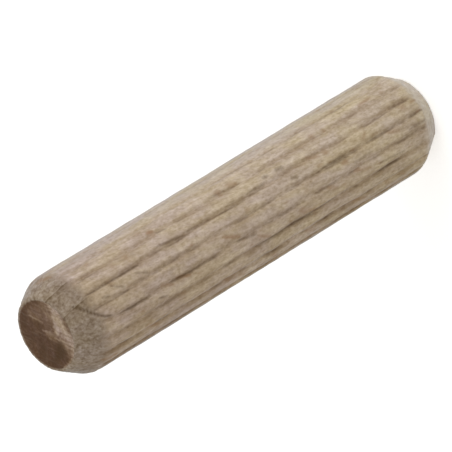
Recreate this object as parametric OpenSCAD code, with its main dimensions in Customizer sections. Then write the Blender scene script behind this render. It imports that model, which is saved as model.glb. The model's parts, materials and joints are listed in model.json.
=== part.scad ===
// Fluted wooden dowel pin: a straight pin with flutes pressed along its whole
// length and a cone turned on each end, standing upright on its lower end face.

/* [Pin] */
// Length over both end faces
pin_length = 40; // [25:1:80]
// Diameter over the crests that stand between the flutes
crest_diameter = 8.3; // [7:0.1:12]

/* [End chamfers] */
// Length of each conical chamfer, measured along the pin
chamfer_length = 2; // [0.8:0.1:3]
// Angle between each chamfer and the pin's axis
chamfer_angle = 30; // [15:1:40]

/* [Flutes] */
// Number of flutes round the pin
flute_count = 20; // [12:1:24]
// Depth of a flute below the crests
flute_depth = 0.2; // [0.1:0.02:0.24]
// Angle between the two flanks of a flute
flute_angle = 85; // [60:1:90]
// Radius at the root of a flute
root_radius = 0.1; // [0.05:0.01:0.12]
// Radius where a flank turns over onto a crest
shoulder_radius = 0.15; // [0.05:0.01:0.2]

/* [Hidden] */
$fn = 96;

crest_r = crest_diameter / 2;
end_r = crest_r - chamfer_length * tan(chamfer_angle);
half_angle = flute_angle / 2;
pitch_angle = 360 / flute_count;

// Neither radius may use up more than half of a flute's depth.
radius_limit = flute_depth / (2 * (1 - sin(half_angle)));
root_r = min(root_radius, radius_limit);
shoulder_r = min(shoulder_radius, radius_limit);

// Each radius crosses the faces that it blends at this small angle, so that
// they meet on a clean edge.
blend_angle = 4;
blend = cos(blend_angle);

// How far the cutters reach past the crests
clear = 1;

// A flute is drawn with its middle on +Y. Its right flank runs along `up_flank`
// and faces away from `into_crest`, which points into the wood beside it.
up_flank = [sin(half_angle), cos(half_angle)];
into_crest = [cos(half_angle), -sin(half_angle)];
root_y = crest_r - flute_depth + root_r;
flank_foot = [0, root_y] + root_r * blend * into_crest;
flank_top = flank_foot + (flute_depth + clear) * up_flank;

// Centre of the right shoulder's radius, inside both the flank and the crest
shoulder_in = flank_foot * into_crest + shoulder_r * blend;
shoulder_up = sqrt(pow(crest_r - shoulder_r * blend, 2) - pow(shoulder_in, 2));
shoulder_centre = shoulder_in * into_crest + shoulder_up * up_flank;
shoulder_out = shoulder_centre / norm(shoulder_centre);

function mirrored(p) = [-p.x, p.y];

// The corner of a crest that the shoulder's radius takes away
module shoulder_cut() {
    reach = 2 * shoulder_r;
    difference() {
        polygon([
            shoulder_centre,
            shoulder_centre - reach * into_crest,
            shoulder_centre + reach * (shoulder_out - into_crest),
            shoulder_centre + reach * shoulder_out
        ]);
        translate(shoulder_centre) circle(r = shoulder_r);
    }
}

// The outline of what one flute takes out of the pin
module flute_cut() {
    polygon([mirrored(flank_foot), flank_foot, flank_top, mirrored(flank_top)]);
    translate([0, root_y]) circle(r = root_r);
    shoulder_cut();
    mirror([1, 0]) shoulder_cut();
}

// Cross-section of the pin: crests with a flute pressed in between each pair
module fluted_section() {
    difference() {
        circle(r = crest_r);
        for (i = [0 : flute_count - 1])
            rotate((i + 0.5) * pitch_angle) flute_cut();
    }
}

// What the chamfers leave: a cone at each end, clear of the crests between them
module chamfer_envelope() {
    cone_run = clear / tan(chamfer_angle);
    rotate_extrude()
        polygon([
            [0, 0],
            [end_r, 0],
            [crest_r + clear, chamfer_length + cone_run],
            [crest_r + clear, pin_length - chamfer_length - cone_run],
            [end_r, pin_length],
            [0, pin_length]
        ]);
}

// The whole pin, with its flutes running out on the chamfers
module dowel_pin() {
    color("burlywood")
        intersection() {
            linear_extrude(pin_length) fluted_section();
            chamfer_envelope();
        }
}

dowel_pin();
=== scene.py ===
"""Fluted beech dowel pin, standing on its lower end on a plain pale floor.

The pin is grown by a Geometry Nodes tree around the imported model's sizes, then its checks, dents and
stains are cut into the mesh. Everything is in metres, with +Z along the pin's axis.
"""
import json
import math
from types import SimpleNamespace

import bpy
import numpy as np
from mathutils import Matrix, Vector


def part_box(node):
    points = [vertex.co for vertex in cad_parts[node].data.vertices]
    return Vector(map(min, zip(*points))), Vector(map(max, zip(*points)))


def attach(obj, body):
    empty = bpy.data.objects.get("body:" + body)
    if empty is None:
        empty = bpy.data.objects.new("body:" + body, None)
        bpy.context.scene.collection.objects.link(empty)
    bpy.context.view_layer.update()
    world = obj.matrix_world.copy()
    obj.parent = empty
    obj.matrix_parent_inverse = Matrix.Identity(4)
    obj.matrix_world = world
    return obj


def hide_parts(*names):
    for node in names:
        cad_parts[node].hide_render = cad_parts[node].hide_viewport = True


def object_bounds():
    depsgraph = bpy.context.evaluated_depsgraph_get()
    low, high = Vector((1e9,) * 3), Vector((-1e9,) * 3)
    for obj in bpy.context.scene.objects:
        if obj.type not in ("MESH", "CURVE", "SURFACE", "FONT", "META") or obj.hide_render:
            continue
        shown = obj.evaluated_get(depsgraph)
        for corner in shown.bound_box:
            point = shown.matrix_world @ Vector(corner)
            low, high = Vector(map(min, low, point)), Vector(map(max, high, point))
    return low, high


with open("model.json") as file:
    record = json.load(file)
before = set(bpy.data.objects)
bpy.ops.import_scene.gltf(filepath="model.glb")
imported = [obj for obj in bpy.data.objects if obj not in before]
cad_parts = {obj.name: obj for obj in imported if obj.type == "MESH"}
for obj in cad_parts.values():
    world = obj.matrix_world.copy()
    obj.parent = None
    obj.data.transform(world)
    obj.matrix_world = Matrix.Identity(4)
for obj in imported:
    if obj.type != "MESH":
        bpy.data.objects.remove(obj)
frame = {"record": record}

bl_info = {
    "name": "Fluted dowel pin",
    "version": (1, 0, 0),
    "blender": (4, 5, 0),
    "location": "View3D > Sidebar > Dowel pin",
    "description": "Makes a fluted beech dowel pin and a plain stage for it",
    "category": "Add Mesh",
}

MM = 0.001
PIN_NODE = "dowel_pin"
PIN_BODY = "root"

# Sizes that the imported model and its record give.
CAD_LOW, CAD_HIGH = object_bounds()
PIN_LOW, PIN_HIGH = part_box(PIN_NODE)
PIN_LENGTH = PIN_HIGH.z - PIN_LOW.z
CREST_RADIUS = (PIN_HIGH.y - PIN_LOW.y) / 2
SHANK_LENGTH = next(m["dims"]["length_mm"] for m in frame["record"]["mounts"] if m["name"] == "shank") * MM
CHAMFER_LENGTH = (PIN_LENGTH - SHANK_LENGTH) / 2

# The front line runs up the pin at this angle from +X. Places on the surface are given in
# millimetres down from the upper end and in degrees round from the front line, positive to the
# left as the pin stands. Places on the upper end face are given in millimetres out from the axis
# and the same degrees.
FRONT_LINE = -96.9

# Growth rings cross the pin as nearly flat sheets. Their normal, in degrees round from the front
# line, the distance between two of them, and how far they are moved as a share of that distance.
RING_NORMAL = 63.0
RING_WIDTH = 1.83 * MM
RING_SHIFT = 0.42

# The fibres lean from the axis by this angle, to the left on their way down the front.
GRAIN_SLOPE = math.radians(6)

# The saw's stroke across the end faces, in degrees round from the front line.
SAW_STROKE = 42.0


def surface_angle(degrees_round):
    """The angle from +X, in radians, of a line that many degrees round from the front line."""
    return math.radians(FRONT_LINE - degrees_round)


def level_direction(angle):
    """The level unit vector at an angle from +X."""
    return Vector((math.cos(angle), math.sin(angle), 0))


def colour(hex_value):
    """An sRGB hex value as linear RGBA."""
    parts = [int(hex_value[i:i + 2], 16) / 255 for i in (1, 3, 5)]
    linear = [p / 12.92 if p <= 0.04045 else ((p + 0.055) / 1.055) ** 2.4 for p in parts]
    return (*linear, 1.0)


def add(tree, kind, inputs=None, **settings):
    """Adds a node with its settings. An input takes a value, a socket, or a node's first output."""
    node = tree.nodes.new(kind)
    for name, value in settings.items():
        setattr(node, name, value)
    for key, value in (inputs or {}).items():
        if isinstance(value, bpy.types.Node):
            value = next(s for s in value.outputs if s.enabled)
        if isinstance(value, bpy.types.NodeSocket):
            tree.links.new(value, node.inputs[key])
        else:
            node.inputs[key].default_value = value
    return node


def grain_noise(tree, place, size, detail, roughness=0.5):
    """Noise whose spots have this size in mm, the last one along the fibres."""
    spots = add(tree, "ShaderNodeVectorMath", {
        0: place, 1: tuple(1 / (side * MM) for side in size)}, operation="MULTIPLY")
    return add(tree, "ShaderNodeTexNoise", {
        "Vector": spots, "Scale": 1.0, "Detail": detail, "Roughness": roughness})


# ---------------------------------------------------------------- settings

class PinSettings(bpy.types.PropertyGroup):
    """Sizes of the pin and the density of its mesh."""

    length: bpy.props.FloatProperty(
        name="Length", description="Length over both end faces",
        default=PIN_LENGTH, subtype="DISTANCE", unit="LENGTH")
    crest_radius: bpy.props.FloatProperty(
        name="Crest radius", description="Radius of the crests between the flutes",
        default=CREST_RADIUS, subtype="DISTANCE", unit="LENGTH")
    chamfer_length: bpy.props.FloatProperty(
        name="Chamfer length", description="Length of the cone at each end",
        default=CHAMFER_LENGTH, subtype="DISTANCE", unit="LENGTH")
    chamfer_angle: bpy.props.FloatProperty(
        name="Chamfer angle", description="Angle between the cone and the axis",
        default=math.radians(30), subtype="ANGLE", unit="ROTATION")
    flutes: bpy.props.IntProperty(
        name="Flutes", description="Number of flutes round the pin", default=20)
    flute_depth: bpy.props.FloatProperty(
        name="Flute depth", description="Depth of a flute where it was pressed deepest",
        default=0.185 * MM, subtype="DISTANCE", unit="LENGTH", precision=5)
    flute_angle: bpy.props.FloatProperty(
        name="Flute angle", description="Angle between the two flanks of a flute",
        default=math.radians(85), subtype="ANGLE", unit="ROTATION")
    # The side towards the soft box, where the flutes are shallower, and paler as painted light.
    lit_side: bpy.props.FloatProperty(
        name="Lit side", description="Degrees round from the front line to where the flutes are worn away",
        default=-65.0)
    root_rounding: bpy.props.FloatProperty(
        name="Root rounding", description="How round the bottom of a flute is",
        default=0.12 * MM, subtype="DISTANCE", unit="LENGTH", precision=5)
    shoulder_rounding: bpy.props.FloatProperty(
        name="Shoulder rounding", description="How softly a flank turns over onto a crest",
        default=0.2 * MM, subtype="DISTANCE", unit="LENGTH", precision=5)
    wander: bpy.props.FloatProperty(
        name="Wander", description="How far a flute strays sideways along the pin",
        default=0.13 * MM, subtype="DISTANCE", unit="LENGTH", precision=5)
    edge_rounding: bpy.props.FloatProperty(
        name="Edge rounding", description="How softly a chamfer turns over onto the shank",
        default=0.35 * MM, subtype="DISTANCE", unit="LENGTH", precision=5)
    rim_rounding: bpy.props.FloatProperty(
        name="Rim rounding", description="Radius of the worn rim of an end face",
        default=0.12 * MM, subtype="DISTANCE", unit="LENGTH", precision=5)
    chamfer_offset: bpy.props.FloatProperty(
        name="Chamfer offset", description="How far off centre the chamfers were cut",
        default=0.12 * MM, subtype="DISTANCE", unit="LENGTH", precision=5)
    chamfer_difference: bpy.props.FloatProperty(
        name="Chamfer difference", description="How much less deeply the lower chamfer was cut",
        default=0.05 * MM, subtype="DISTANCE", unit="LENGTH", precision=5)
    columns: bpy.props.IntProperty(
        name="Columns", description="Mesh columns across one flute and crest", default=17)
    rows: bpy.props.IntProperty(
        name="Rows", description="Mesh rows along the shank", default=200)
    chamfer_rows: bpy.props.IntProperty(
        name="Chamfer rows", description="Mesh rows along each chamfer", default=16)
    end_rings: bpy.props.IntProperty(
        name="End rings", description="Mesh rings across each end face", default=22)


class FinishSettings(bpy.types.PropertyGroup):
    """Colours of the wood."""

    wood: bpy.props.FloatVectorProperty(
        name="Wood", description="Beech along the grain", subtype="COLOR", size=4,
        min=0, max=1, default=colour("#BFAC97"))
    pressed: bpy.props.FloatVectorProperty(
        name="Pressed wood", description="Beech burnished and darkened in the flutes", subtype="COLOR",
        size=4, min=0, max=1, default=colour("#9B8368"))
    check: bpy.props.FloatVectorProperty(
        name="Check", description="Shaded bottom of a check or torn fibre", subtype="COLOR", size=4,
        min=0, max=1, default=colour("#5E4B36"))
    ray: bpy.props.FloatVectorProperty(
        name="Ray fleck", description="Reddish ray flecks and stains", subtype="COLOR", size=4,
        min=0, max=1, default=colour("#94704F"))
    # Partly the end grain's own colour and partly painted shade.
    chamfer: bpy.props.FloatVectorProperty(
        name="Chamfer", description="Slanting end grain on the upper chamfer", subtype="COLOR", size=4,
        min=0, max=1, default=colour("#968573"))
    # Partly the end grain's own colour and partly painted light from below.
    lower_chamfer_pale_and_lit: bpy.props.FloatVectorProperty(
        name="Lower chamfer", description="Paler end grain, burnished by the cutter", subtype="COLOR",
        size=4, min=0, max=1, default=colour("#DFD4C5"))
    sawn_end: bpy.props.FloatVectorProperty(
        name="Sawn end", description="Open end grain, darkened by the saw", subtype="COLOR", size=4,
        min=0, max=1, default=colour("#674E3C"))
    blot: bpy.props.FloatVectorProperty(
        name="Blot", description="Darkest end grain", subtype="COLOR", size=4,
        min=0, max=1, default=colour("#5A4430"))
    half_torn: bpy.props.FloatVectorProperty(
        name="Half torn fibres", description="Brown fibres roughened by the saw", subtype="COLOR", size=4,
        min=0, max=1, default=colour("#A3866A"))
    torn: bpy.props.FloatVectorProperty(
        name="Torn fibres", description="Pale fibres torn up by the saw", subtype="COLOR", size=4,
        min=0, max=1, default=colour("#BAA592"))


class StageSettings(bpy.types.PropertyGroup):
    """Lights, floor and camera."""

    ambient: bpy.props.FloatProperty(
        name="Ambient", description="Strength of the even studio light", default=0.64)
    ambient_tint: bpy.props.FloatVectorProperty(
        name="Ambient tint", description="Colour of the even studio light", subtype="COLOR",
        min=0, max=1.2, default=(1.02, 1.0, 0.96))
    key_level: bpy.props.FloatProperty(
        name="Key level", description="Light that the soft box adds to a white card facing it",
        default=0.42)
    key_distance: bpy.props.FloatProperty(
        name="Key distance", description="Distance of the soft box from the middle of the pin",
        default=0.5, subtype="DISTANCE", unit="LENGTH")
    key_width: bpy.props.FloatProperty(
        name="Key width", description="Width of the soft box",
        default=0.4, subtype="DISTANCE", unit="LENGTH")
    key_tint: bpy.props.FloatVectorProperty(
        name="Key tint", description="Colour of the soft box", subtype="COLOR",
        min=0, max=1.2, default=(0.94, 1.0, 1.1))
    key_turn: bpy.props.FloatProperty(
        name="Key turn", description="Angle round from the front line to the soft box, to the right",
        default=math.radians(61), subtype="ANGLE", unit="ROTATION")
    key_height: bpy.props.FloatProperty(
        name="Key height", description="Angle of the soft box above the floor",
        default=math.radians(12), subtype="ANGLE", unit="ROTATION")
    floor: bpy.props.FloatVectorProperty(
        name="Floor", description="Pale floor", subtype="COLOR", size=4,
        min=0, max=1, default=colour("#F4F4F4"))
    camera_elevation: bpy.props.FloatProperty(
        name="Camera elevation", description="Angle of the camera above the horizon",
        default=math.radians(37.7), subtype="ANGLE", unit="ROTATION")
    camera_roll: bpy.props.FloatProperty(
        name="Camera roll", description="Clockwise turn of the camera about its line of sight",
        default=math.radians(121.53), subtype="ANGLE", unit="ROTATION")
    camera_distance: bpy.props.FloatProperty(
        name="Camera distance", description="Distance from the middle of the pin",
        default=567.3 * MM, subtype="DISTANCE", unit="LENGTH")
    focal_length: bpy.props.FloatProperty(
        name="Focal length", description="Lens of the camera", default=601.5, subtype="DISTANCE_CAMERA")


# ---------------------------------------------------------------- the pin's shape

def pin_inputs(pin, material):
    """The tree's inputs by name, each with its kind and its value."""
    return {
        "Length": ("NodeSocketFloat", pin.length),
        "Crest Radius": ("NodeSocketFloat", pin.crest_radius),
        "Chamfer Length": ("NodeSocketFloat", pin.chamfer_length),
        "Chamfer Slope": ("NodeSocketFloat", math.tan(pin.chamfer_angle)),
        "Chamfer Offset": ("NodeSocketVector", level_direction(surface_angle(-90)) * pin.chamfer_offset),
        "Chamfer Difference": ("NodeSocketFloat", pin.chamfer_difference),
        "Flutes": ("NodeSocketInt", pin.flutes),
        "Flute Depth": ("NodeSocketFloat", pin.flute_depth),
        "Flank Slope": ("NodeSocketFloat", math.tan(pin.flute_angle / 2)),
        "Lit Side": ("NodeSocketVector", level_direction(surface_angle(pin.lit_side))),
        "Root Rounding": ("NodeSocketFloat", pin.root_rounding),
        "Shoulder Rounding": ("NodeSocketFloat", pin.shoulder_rounding),
        "Edge Rounding": ("NodeSocketFloat", pin.edge_rounding),
        "Rim Rounding": ("NodeSocketFloat", pin.rim_rounding),
        "Wander": ("NodeSocketFloat", pin.wander),
        "Columns": ("NodeSocketInt", pin.columns),
        "Rows": ("NodeSocketInt", pin.rows),
        "Chamfer Rows": ("NodeSocketInt", pin.chamfer_rows),
        "End Rings": ("NodeSocketInt", pin.end_rings),
        "Seed": ("NodeSocketFloat", 4.0),
        "Material": ("NodeSocketMaterial", material),
    }


def row_height(tree, size, row, all_rows):
    """A row's height.

    The chamfers' rows crowd towards the rims, where the form turns fastest, and the shank's towards
    its upper end, where its checks are.
    """
    rim_crowding, top_crowding = 1.4, 1.3
    chamfer, shank_start = size["Chamfer Length"], size["Chamfer Rows"]
    shank_end = add(tree, "ShaderNodeMath", {0: shank_start, 1: size["Rows"]}, operation="ADD")
    both_lengths = add(tree, "ShaderNodeMath", {0: chamfer, 1: 2.0}, operation="MULTIPLY")
    shank = add(tree, "ShaderNodeMath", {0: size["Length"], 1: both_lengths}, operation="SUBTRACT")
    lower_share = add(tree, "ShaderNodeMapRange", {"Value": row, "From Max": shank_start})
    lower_crowded = add(tree, "ShaderNodeMath", {0: lower_share, 1: rim_crowding}, operation="POWER")
    height = add(tree, "ShaderNodeMath", {0: lower_crowded, 1: chamfer}, operation="MULTIPLY")
    for first, last, length, crowding in (
            (shank_start, shank_end, shank, top_crowding), (shank_end, all_rows, chamfer, rim_crowding)):
        to_come = add(tree, "ShaderNodeMapRange", {
            "Value": row, "From Min": first, "From Max": last, "To Min": 1.0, "To Max": 0.0})
        crowded = add(tree, "ShaderNodeMath", {0: to_come, 1: crowding}, operation="POWER")
        passed = add(tree, "ShaderNodeMath", {0: 1.0, 1: crowded}, operation="SUBTRACT")
        climbed = add(tree, "ShaderNodeMath", {0: passed, 1: length}, operation="MULTIPLY")
        height = add(tree, "ShaderNodeMath", {0: height, 1: climbed}, operation="ADD")
    return height


def cylinder_spots(tree, size):
    """A plain cylinder with the pin's rows and columns, and what is known of a spot on it."""
    columns = add(tree, "ShaderNodeMath", {0: size["Flutes"], 1: size["Columns"]}, operation="MULTIPLY")
    both_chamfers = add(tree, "ShaderNodeMath", {0: size["Chamfer Rows"], 1: 2.0}, operation="MULTIPLY")
    all_rows = add(tree, "ShaderNodeMath", {0: both_chamfers, 1: size["Rows"]}, operation="ADD")
    blank = add(tree, "GeometryNodeMeshCylinder", {
        "Vertices": columns, "Side Segments": all_rows, "Fill Segments": size["End Rings"],
        "Radius": 1.0, "Depth": 1.0}, fill_type="TRIANGLE_FAN")
    place = add(tree, "ShaderNodeSeparateXYZ", {0: add(tree, "GeometryNodeInputPosition")})
    angle = add(tree, "ShaderNodeMath", {0: place.outputs["Y"], 1: place.outputs["X"]}, operation="ARCTAN2")
    flat = add(tree, "ShaderNodeCombineXYZ", {"X": place.outputs["X"], "Y": place.outputs["Y"]})
    around = add(tree, "ShaderNodeVectorMath", {0: flat}, operation="NORMALIZE")
    # Spots inside the cylinder's rim, whose radius is 1, are on an end face.
    inward = add(tree, "ShaderNodeVectorMath", {0: flat}, operation="LENGTH").outputs["Value"]
    is_end = add(tree, "ShaderNodeMath", {0: inward, 1: 0.999}, operation="LESS_THAN")

    # Where a row comes to lie on the pin, and which way the pin's middle is from there.
    raised = add(tree, "ShaderNodeMath", {0: place.outputs["Z"], 1: 0.5}, operation="ADD")
    row = add(tree, "ShaderNodeMath", {0: raised, 1: all_rows}, operation="MULTIPLY")
    height = row_height(tree, size, row, all_rows)
    from_top = add(tree, "ShaderNodeMath", {0: size["Length"], 1: height}, operation="SUBTRACT")
    from_end = add(tree, "ShaderNodeMath", {0: height, 1: from_top}, operation="MINIMUM")
    upward = add(tree, "ShaderNodeMath", {0: from_top, 1: height}, operation="SUBTRACT")
    is_lower = add(tree, "ShaderNodeMath", {0: upward, 1: 0.0}, operation="GREATER_THAN")
    skin = add(tree, "ShaderNodeVectorMath", {0: around, "Scale": size["Crest Radius"]}, operation="SCALE")
    lift = add(tree, "ShaderNodeCombineXYZ", {"Z": height})
    skin_place = add(tree, "ShaderNodeVectorMath", {0: skin, 1: lift}, operation="ADD")
    return blank.outputs["Mesh"], SimpleNamespace(
        angle=angle, flat=flat, around=around, inward=inward, is_end=is_end, height=height,
        from_end=from_end, upward=upward, is_lower=is_lower, skin_place=skin_place)


def flute_across(tree, size, angle):
    """Which flute a column belongs to, and how far across it the column stands."""
    turns = add(tree, "ShaderNodeMath", {0: angle, 1: math.tau}, operation="DIVIDE")
    flute_turns = add(tree, "ShaderNodeMath", {0: turns, 1: size["Flutes"]}, operation="MULTIPLY")
    flute = add(tree, "ShaderNodeMath", {0: flute_turns}, operation="FLOOR")
    share = add(tree, "ShaderNodeMath", {0: flute_turns, 1: flute}, operation="SUBTRACT")
    centred = add(tree, "ShaderNodeMath", {0: share, 1: 0.5}, operation="SUBTRACT")
    girth = add(tree, "ShaderNodeMath", {0: size["Crest Radius"], 1: math.tau}, operation="MULTIPLY")
    pitch = add(tree, "ShaderNodeMath", {0: girth, 1: size["Flutes"]}, operation="DIVIDE")
    return flute, add(tree, "ShaderNodeMath", {0: centred, 1: pitch}, operation="MULTIPLY")


def flute_pressing(tree, size, spot, lane, apart):
    """How hard a flute was pressed, from 0 to 1: patchy along it, and weaker on the side towards the soft
    box, where the flutes are shallower and their dark colour fades as painted light.
    """
    other_lane = add(tree, "ShaderNodeVectorMath", {0: lane, 1: (31.0, 17.0, 5.0)}, operation="ADD")
    patches = add(tree, "ShaderNodeTexNoise", {
        "Vector": other_lane, "Scale": 1.3, "Detail": 4.0, "Roughness": 0.6})
    pressed = add(tree, "ShaderNodeMapRange", {
        "Value": patches, "From Min": 0.3, "From Max": 0.65, "To Min": 0.55, "To Max": 1.0})
    # Towards the soft box the flutes are cut shallower and their colour is paler: painted light.
    facing = add(tree, "ShaderNodeVectorMath", {
        0: spot.around, 1: size["Lit Side"]}, operation="DOT_PRODUCT").outputs["Value"]
    away_from_light = add(tree, "ShaderNodeMapRange", {
        "Value": facing, "From Min": 0.75, "From Max": 1.0, "To Min": 1.0, "To Max": 0.4})
    # It fades out next to the chamfers, in some flutes up to 1.3 mm nearer the end than in others.
    start = add(tree, "ShaderNodeTexWhiteNoise", {"W": apart}, noise_dimensions="1D").outputs["Value"]
    staggered = add(tree, "ShaderNodeMath", {
        0: start, 1: 1.3 * MM, 2: spot.from_end}, operation="MULTIPLY_ADD")
    faded = add(tree, "ShaderNodeMapRange", {
        "Value": staggered, "From Min": 1.6 * MM, "From Max": 3.3 * MM}, interpolation_type="SMOOTHSTEP")
    for share in (away_from_light, faded):
        pressed = add(tree, "ShaderNodeMath", {0: pressed, 1: share}, operation="MULTIPLY")
    return pressed


def flute_section(tree, size, off_line, deepest):
    """Depth of a flute: two straight flanks that meet in a round root and turn over onto the crests."""
    sideways = add(tree, "ShaderNodeMath", {0: off_line, 1: size["Flank Slope"]}, operation="DIVIDE")
    squared = add(tree, "ShaderNodeMath", {0: sideways, 1: 2.0}, operation="POWER")
    root_squared = add(tree, "ShaderNodeMath", {0: size["Root Rounding"], 1: 2.0}, operation="POWER")
    flank_squared = add(tree, "ShaderNodeMath", {0: squared, 1: root_squared}, operation="ADD")
    flank = add(tree, "ShaderNodeMath", {0: flank_squared}, operation="SQRT")
    rise = add(tree, "ShaderNodeMath", {0: flank, 1: size["Root Rounding"]}, operation="SUBTRACT")
    sharp_depth = add(tree, "ShaderNodeMath", {0: deepest, 1: rise}, operation="SUBTRACT")
    return add(tree, "ShaderNodeMath", {
        0: sharp_depth, 1: 0.0, 2: size["Shoulder Rounding"]}, operation="SMOOTH_MAX")


def flutes(tree, size, spot):
    """The flutes: their depth, how far a spot is off the root, and how hard it was pressed."""
    flute, across = flute_across(tree, size, spot.angle)
    # Each flute strays sideways on a line of its own, turning every 4.5 mm or so.
    apart = add(tree, "ShaderNodeMath", {0: flute, 1: 7.3}, operation="MULTIPLY")
    along = add(tree, "ShaderNodeMath", {0: spot.height, 1: 1 / (4.5 * MM)}, operation="MULTIPLY")
    lane = add(tree, "ShaderNodeCombineXYZ", {"X": apart, "Y": along, "Z": size["Seed"]})
    stray = add(tree, "ShaderNodeTexNoise", {"Vector": lane, "Scale": 1.0, "Detail": 4.0, "Roughness": 0.6})
    stray_centred = add(tree, "ShaderNodeMath", {0: stray, 1: 0.5}, operation="SUBTRACT")
    # The noise keeps within a quarter of its middle, so this brings it to between -1 and 1.
    stray_wide = add(tree, "ShaderNodeMath", {0: stray_centred, 1: 4.0}, operation="MULTIPLY")
    off_line = add(tree, "ShaderNodeMath", {
        0: stray_wide, 1: size["Wander"], 2: across}, operation="MULTIPLY_ADD")
    pressed = flute_pressing(tree, size, spot, lane, apart)
    deepest = add(tree, "ShaderNodeMath", {0: pressed, 1: size["Flute Depth"]}, operation="MULTIPLY")
    depth = flute_section(tree, size, off_line, deepest)
    # The dark of a flute reaches further up its left flank, which faces away from the light: painted shade.
    shade_shifted_middle = add(tree, "ShaderNodeMath", {0: off_line, 1: 0.07 * MM}, operation="ADD")
    off_root = add(tree, "ShaderNodeMath", {0: shade_shifted_middle}, operation="ABSOLUTE")
    return depth, off_root, pressed


def shank_relief(tree, spot):
    """Fibres stand a little proud of each other along the shank, and the shank swells softly."""
    grain_place = add(tree, "ShaderNodeVectorRotate", {
        "Vector": spot.skin_place, "Center": (0, 0, PIN_LENGTH), "Axis": level_direction(surface_angle(0)),
        "Angle": GRAIN_SLOPE})
    fibres = grain_noise(tree, grain_place, (0.3, 0.3, 1.1), detail=3.0)
    fibre_relief = add(tree, "ShaderNodeMapRange", {
        "Value": fibres, "From Min": 0.3, "From Max": 0.7, "To Min": 0.025 * MM, "To Max": 0.0})
    swell = grain_noise(tree, grain_place, (1.2, 1.2, 3), detail=1.0)
    swell_relief = add(tree, "ShaderNodeMapRange", {
        "Value": swell, "From Min": 0.35, "From Max": 0.65, "To Min": 0.025 * MM, "To Max": 0.0})
    return add(tree, "ShaderNodeMath", {0: fibre_relief, 1: swell_relief}, operation="ADD")


def rim_drop(tree, size, from_end):
    """How far the worn rim lies inside a sharp one: the rim is a quarter of a circle."""
    gap = add(tree, "ShaderNodeMath", {0: size["Rim Rounding"], 1: from_end}, operation="SUBTRACT")
    reach = add(tree, "ShaderNodeMath", {0: gap, 1: 0.0}, operation="MAXIMUM")
    sine = add(tree, "ShaderNodeMath", {0: reach, 1: size["Rim Rounding"]}, operation="DIVIDE")
    squared = add(tree, "ShaderNodeMath", {0: sine, 1: 2.0}, operation="POWER")
    rest = add(tree, "ShaderNodeMath", {0: 1.0, 1: squared}, operation="SUBTRACT")
    cosine = add(tree, "ShaderNodeMath", {0: rest}, operation="SQRT")
    missing = add(tree, "ShaderNodeMath", {0: 1.0, 1: cosine}, operation="SUBTRACT")
    return add(tree, "ShaderNodeMath", {0: missing, 1: size["Rim Rounding"]}, operation="MULTIPLY")


def cone_surface(tree, size, spot):
    """Radius of the two chamfers' cones, which run on outside the shank.

    The cut goes across the fibres and leaves a crumbly surface. Both were cut a little off centre,
    the lower one less deeply, and their rims are worn.
    """
    fall = add(tree, "ShaderNodeMath", {0: size["Chamfer Length"], 1: spot.from_end}, operation="SUBTRACT")
    depth = add(tree, "ShaderNodeMath", {0: fall, 1: size["Chamfer Slope"]}, operation="MULTIPLY")
    crumbs = grain_noise(tree, spot.skin_place, (0.4, 0.4, 0.4), detail=4.0)
    crumb_relief = add(tree, "ShaderNodeMapRange", {
        "Value": crumbs, "From Min": 0.3, "From Max": 0.7, "To Min": 0.07 * MM, "To Max": 0.0})
    for cut in (crumb_relief, rim_drop(tree, size, spot.from_end)):
        depth = add(tree, "ShaderNodeMath", {0: depth, 1: cut}, operation="ADD")
    off_centre = add(tree, "ShaderNodeVectorMath", {
        0: spot.around, 1: size["Chamfer Offset"]}, operation="DOT_PRODUCT").outputs["Value"]
    spared = add(tree, "ShaderNodeMath", {
        0: spot.is_lower, 1: size["Chamfer Difference"]}, operation="MULTIPLY")
    for left in (off_centre, spared):
        depth = add(tree, "ShaderNodeMath", {0: depth, 1: left}, operation="SUBTRACT")
    return add(tree, "ShaderNodeMath", {0: size["Crest Radius"], 1: depth}, operation="SUBTRACT")


def sawn_height(tree, spot):
    """A spot's height once the saw has left the end faces uneven, never proud of the true face."""
    # The unevenness is a fifth of the end face's radius wide, 0.6 mm.
    end_place = add(tree, "ShaderNodeVectorMath", {0: spot.flat, "Scale": 5.0}, operation="SCALE")
    end_noise = add(tree, "ShaderNodeTexNoise", {
        "Vector": end_place, "Scale": 1.0, "Detail": 5.0, "Roughness": 0.6})
    end_relief = add(tree, "ShaderNodeMapRange", {
        "Value": end_noise, "From Min": 0.35, "From Max": 0.65, "To Max": 0.05 * MM})
    end_sunk = add(tree, "ShaderNodeMath", {0: end_relief, 1: spot.is_end}, operation="MULTIPLY")
    inwards = add(tree, "ShaderNodeMath", {0: spot.upward}, operation="SIGN")
    return add(tree, "ShaderNodeMath", {
        0: inwards, 1: end_sunk, 2: spot.height}, operation="MULTIPLY_ADD")


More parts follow.
